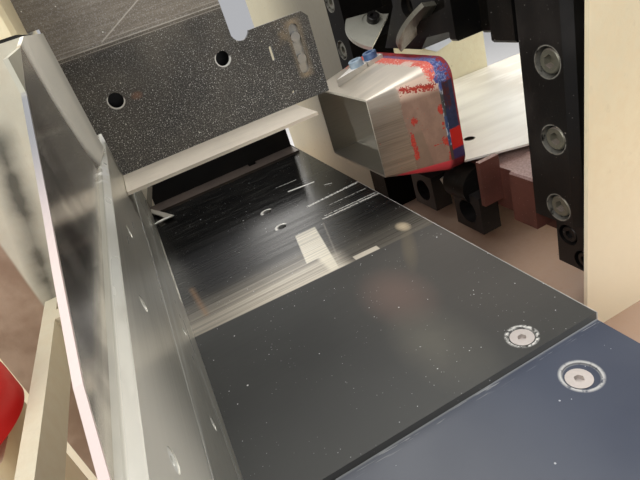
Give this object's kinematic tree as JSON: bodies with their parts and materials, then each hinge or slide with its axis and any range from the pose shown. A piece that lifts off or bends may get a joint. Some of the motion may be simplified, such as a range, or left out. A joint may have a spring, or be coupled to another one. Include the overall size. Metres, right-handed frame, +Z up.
{
  "type": "label die cutting machine",
  "caption": "Bench machine whose ram pushes a stack of sheets off a fenced table, under a hold-down, through a hollow die with waste knives and out over a tray.",
  "frame": {"origin": "middle of the machine's footprint, on the floor", "axes": "+Z up, +X from the guide fence towards the die, +Y away from the operator"},
  "size_m": [1.05, 1.05, 1.32],
  "materials": {
    "base_paint": "satin paint in a dull pinkish beige",
    "black_oxide": "oiled black oxide",
    "black_plastic": "matt black",
    "brown_steel": "brown primer",
    "buffer_rubber": "black rubber",
    "cream_paint": "smooth cream paint",
    "die_steel": "brushed stainless steel with worn red paint at the rim",
    "green_plastic": "glossy green",
    "ground_steel": "ground steel",
    "ledge_steel": "bright brushed steel",
    "mirror_steel": "polished to a mirror",
    "plate_grey": "dark blued sheet with worn spots",
    "red_plastic": "glossy red",
    "screw_steel": "plain steel screws",
    "table_black": "blackened steel, worn glossy",
    "tray_sheet": "bright sheet"
  },
  "bodies": {
    "machine": {"bed_plate": "base_paint", "base_cabinet": "base_paint", "service_panels": "base_paint", "levelling_feet": "black_oxide", "table_plate": "table_black", "front_table_plate": "table_black", "table_screws": "screw_steel", "table_rails": "base_paint", "rear_stop_bar": "brown_steel", "rear_fence": "black_oxide", "corner_deflector": "table_black", "fence_lower_bar": "mirror_steel", "fence_upper_bar": "mirror_steel", "fence_screws": "screw_steel", "fence_mirror_plate": "mirror_steel", "fence_rail": "cream_paint", "ram_portal": "cream_paint", "guide_block": "cream_paint", "cylinder_end_plates": "ground_steel", "cylinder_tube": "ground_steel", "tie_rods": "screw_steel", "hold_down_buffer": "buffer_rubber", "guide_columns": "ground_steel", "hollow_die": "die_steel", "die_lug": "die_steel", "lug_screws": "black_oxide", "die_bracket": "black_oxide", "near_frame_bar": "black_oxide", "far_frame_bar": "black_oxide", "frame_bar_screws": "black_oxide", "lower_frame_block": "black_oxide", "small_cap_screws": "black_oxide", "cross_head": "black_oxide", "upper_gibs": "black_oxide", "lower_beam": "brown_steel", "packing_blocks": "brown_steel", "support_blocks": "black_oxide", "far_upper_knife": "ground_steel", "near_upper_knife": "ground_steel", "knife_holder": "black_oxide", "lower_knife": "ground_steel", "lower_knife_holder": "black_oxide", "frame_cover": "cream_paint", "far_housing": "cream_paint", "outfeed_tray": "tray_sheet", "control_box": "cream_paint", "stop_box": "cream_paint"},
    "ram": {"pusher_plate": "mirror_steel", "pusher_block": "ground_steel", "ram_rod": "ground_steel", "guide_rods": "ground_steel"},
    "hold_down": {"hold_down_plate": "plate_grey", "hold_down_ledge": "ledge_steel", "hold_down_arm": "black_oxide", "hold_down_block": "cream_paint", "slot_clamp": "ground_steel"},
    "left_start": {"start_button_left": "green_plastic"},
    "right_start": {"start_button_right": "green_plastic"},
    "emergency_stop": {"stop_button": "red_plastic"},
    "switch": {"main_switch": "black_plastic"}
  },
  "joints": [
    {"name": "ram_slide", "type": "slide", "parent": "machine", "child": "ram", "axis": [1, 0, 0], "range_m": [0, 0.185]},
    {"name": "hold_down_slide", "type": "slide", "parent": "machine", "child": "hold_down", "axis": [0, 0, 1], "range_m": [0, 0.08]},
    {"name": "left_start_press", "type": "slide", "parent": "machine", "child": "left_start", "axis": [0, 0, -1], "range_m": [0, 0.004], "stiffness_N_per_m": 1500, "springref_m": -0.001},
    {"name": "right_start_press", "type": "slide", "parent": "machine", "child": "right_start", "axis": [0, 0, -1], "range_m": [0, 0.004], "stiffness_N_per_m": 1500, "springref_m": -0.001},
    {"name": "stop_press", "type": "slide", "parent": "machine", "child": "emergency_stop", "axis": [0, 0, -1], "range_m": [0, 0.006], "stiffness_N_per_m": 2500, "springref_m": -0.002},
    {"name": "main_switch_turn", "type": "hinge", "parent": "machine", "child": "switch", "pos_m": [0.26, -0.469, 0.95], "axis": [0, 0, -1], "range_deg": [0, 90]}
  ]
}
